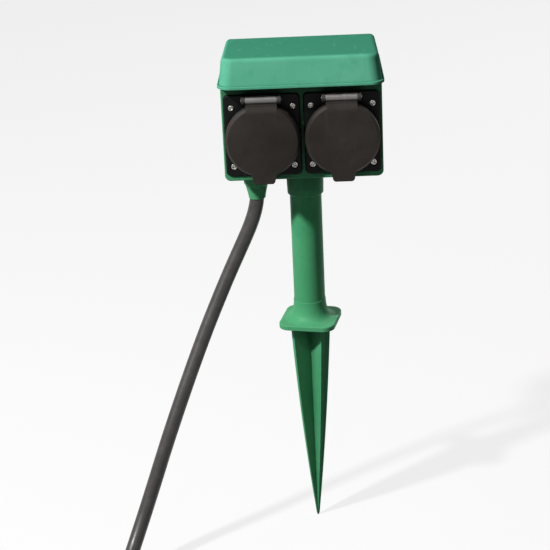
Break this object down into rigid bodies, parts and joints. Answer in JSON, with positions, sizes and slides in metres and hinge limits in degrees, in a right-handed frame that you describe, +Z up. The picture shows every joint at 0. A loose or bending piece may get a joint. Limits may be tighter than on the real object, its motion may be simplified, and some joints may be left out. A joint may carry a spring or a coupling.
{
  "type": "garden socket post",
  "caption": "Outdoor power post: hooded box with sprung-lid sockets on a tube with a ground spike, fed by a rubber supply cord with a moulded plug.",
  "frame": {"origin": "centre of the ground plate's underside on the post's axis, where the soil's surface lies", "axes": "+Z up along the post, the sockets face -Y, +X to the right seen from the front"},
  "size_m": [0.1949, 0.2611, 0.3563],
  "materials": {
    "green_plastic": "satin moulded green plastic",
    "black_plastic": "black moulded plastic",
    "lid_plastic": "dull dark brown-grey plastic",
    "black_rubber": "soft black rubber",
    "cord_sheath": "dull black rubber sheath",
    "plug_rubber": "moulded black rubber",
    "steel": "bright zinc-plated steel",
    "brass": "plain brass",
    "nickelled_brass": "nickel-plated brass",
    "carrier_plastic": "off-white insulating plastic",
    "lead_insulation": "coloured lead insulation"
  },
  "bodies": {
    "post": {"ground_spike": "green_plastic", "post_tube": "green_plastic", "housing_body": "green_plastic", "rear_cover": "green_plastic", "hood": "green_plastic", "rear_cover_seal": "black_rubber", "gland_seal": "black_rubber", "rear_cover_screws": "steel", "hood_screws": "steel", "cable_gland": "green_plastic", "gland_nut": "black_plastic", "cord_inner_end": "cord_sheath", "supply_leads": "lead_insulation", "jumper_leads": "lead_insulation", "supply_cord": "cord_sheath", "cord_coil": "cord_sheath", "plug_body": "plug_rubber", "plug_pins": "nickelled_brass", "plug_earth_contacts": "nickelled_brass", "socket_insert_left": "black_plastic", "flange_seal_left": "black_rubber", "flange_screws_left": "steel", "contact_carrier_left": "carrier_plastic", "contact_sleeves_left": "brass", "earth_clip_left": "steel", "centre_screw_left": "steel", "hinge_pin_left": "steel", "lid_spring_left": "steel", "socket_insert_right": "black_plastic", "flange_seal_right": "black_rubber", "flange_screws_right": "steel", "contact_carrier_right": "carrier_plastic", "contact_sleeves_right": "brass", "earth_clip_right": "steel", "centre_screw_right": "steel", "hinge_pin_right": "steel", "lid_spring_right": "steel"},
    "lid_left": {"lid_left": "lid_plastic", "lid_seal_left": "black_rubber"},
    "lid_right": {"lid_right": "lid_plastic", "lid_seal_right": "black_rubber"}
  },
  "joints": [
    {"name": "lid_left_hinge", "type": "hinge", "parent": "post", "child": "lid_left", "pos_m": [-0.026, -0.0382, 0.1725], "axis": [-1, 0, 0], "range_deg": [0, 100], "stiffness_Nm_per_rad": 0.01, "springref_deg": -28.65},
    {"name": "lid_right_hinge", "type": "hinge", "parent": "post", "child": "lid_right", "pos_m": [0.026, -0.0382, 0.1725], "axis": [-1, 0, 0], "range_deg": [0, 100], "stiffness_Nm_per_rad": 0.01, "springref_deg": -28.65}
  ]
}
